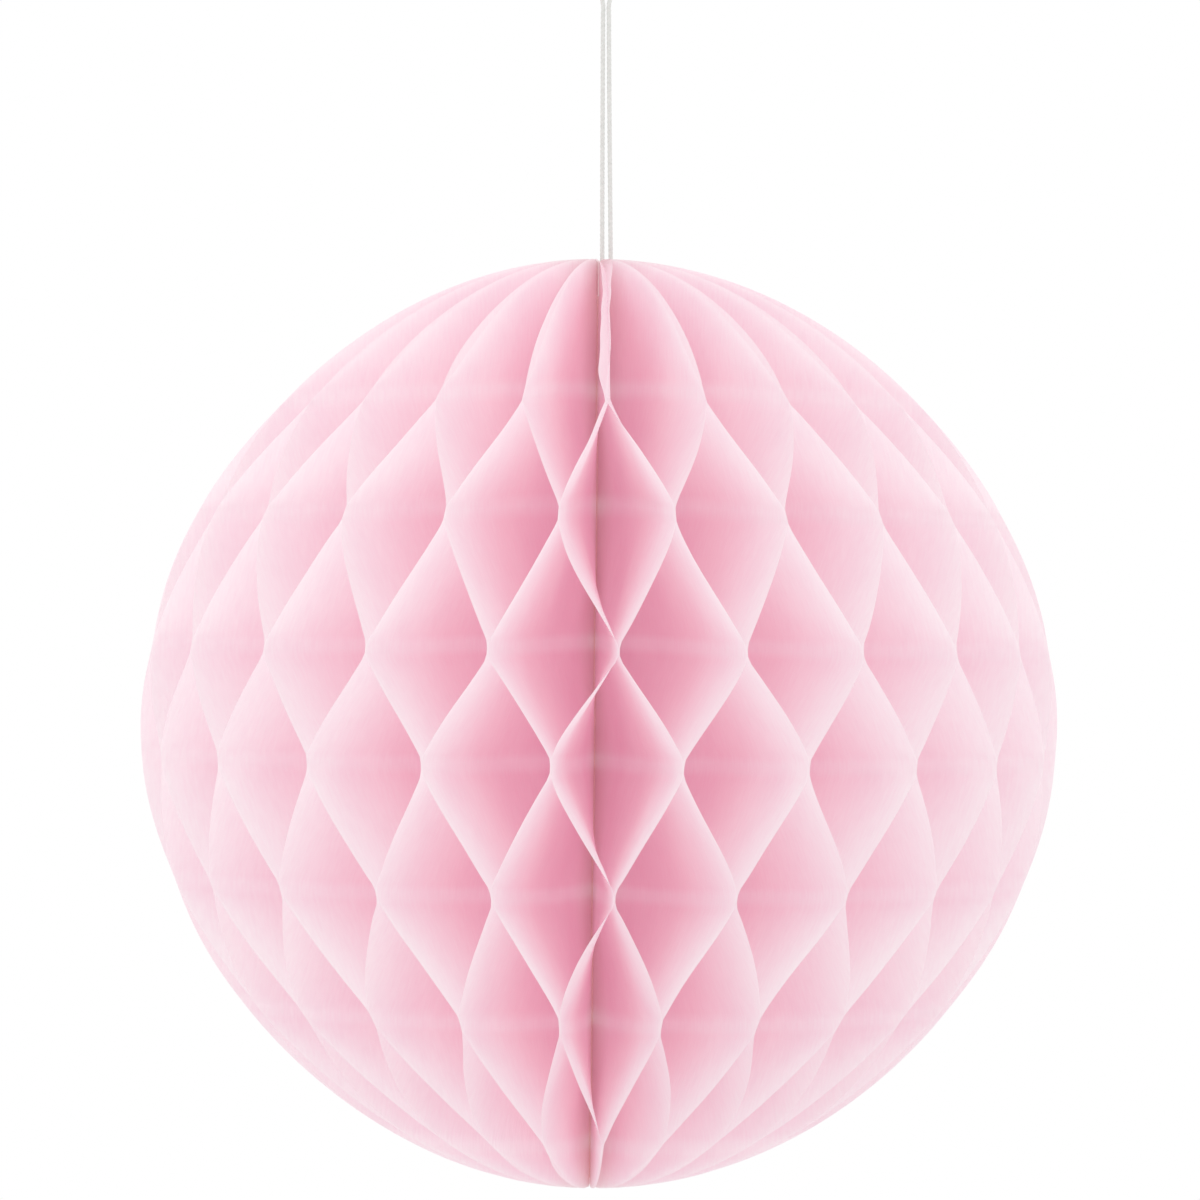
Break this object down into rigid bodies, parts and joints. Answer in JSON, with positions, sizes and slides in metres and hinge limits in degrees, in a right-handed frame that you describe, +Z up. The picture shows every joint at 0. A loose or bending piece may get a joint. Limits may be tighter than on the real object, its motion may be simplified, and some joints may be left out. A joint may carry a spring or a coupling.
{
  "type": "honeycomb paper ball",
  "caption": "Hanging honeycomb ball of pink tissue: half-disc leaves bound on the axis, glued in stripes, fanned all the way round and hung on a loop of string.",
  "frame": {"origin": "the point under the crown of the string loop where a hook carries it; the ball hangs below", "axes": "+Z up along the ball's spine and the string; -Y is the side that faces the picture's camera; the loop lies in the XZ plane"},
  "size_m": [0.1971, 0.197, 0.2728],
  "materials": {
    "tissue": "matte",
    "card": "matte",
    "paste": "matte",
    "string": "matte"
  },
  "bodies": {
    "root": {"leaf_01": "tissue", "leaf_02": "tissue", "leaf_03": "tissue", "leaf_04": "tissue", "leaf_05": "tissue", "leaf_06": "tissue", "leaf_07": "tissue", "leaf_08": "tissue", "leaf_09": "tissue", "leaf_10": "tissue", "leaf_11": "tissue", "leaf_12": "tissue", "leaf_13": "tissue", "leaf_14": "tissue", "leaf_15": "tissue", "leaf_16": "tissue", "leaf_17": "tissue", "leaf_18": "tissue", "leaf_19": "tissue", "leaf_20": "tissue", "leaf_21": "tissue", "leaf_22": "tissue", "leaf_23": "tissue", "leaf_24": "tissue", "leaf_25": "tissue", "leaf_26": "tissue", "leaf_27": "tissue", "leaf_28": "tissue", "leaf_29": "tissue", "leaf_30": "tissue", "leaf_31": "tissue", "leaf_32": "tissue", "leaf_33": "tissue", "leaf_34": "tissue", "leaf_35": "tissue", "leaf_36": "tissue", "leaf_37": "tissue", "leaf_38": "tissue", "leaf_39": "tissue", "leaf_40": "tissue", "leaf_41": "tissue", "leaf_42": "tissue", "leaf_43": "tissue", "leaf_44": "tissue", "leaf_45": "tissue", "leaf_46": "tissue", "cover_first": "card", "cover_last": "card", "spine_binding": "paste", "string_knot": "string", "hanging_loop": "string"}
  },
  "joints": []
}
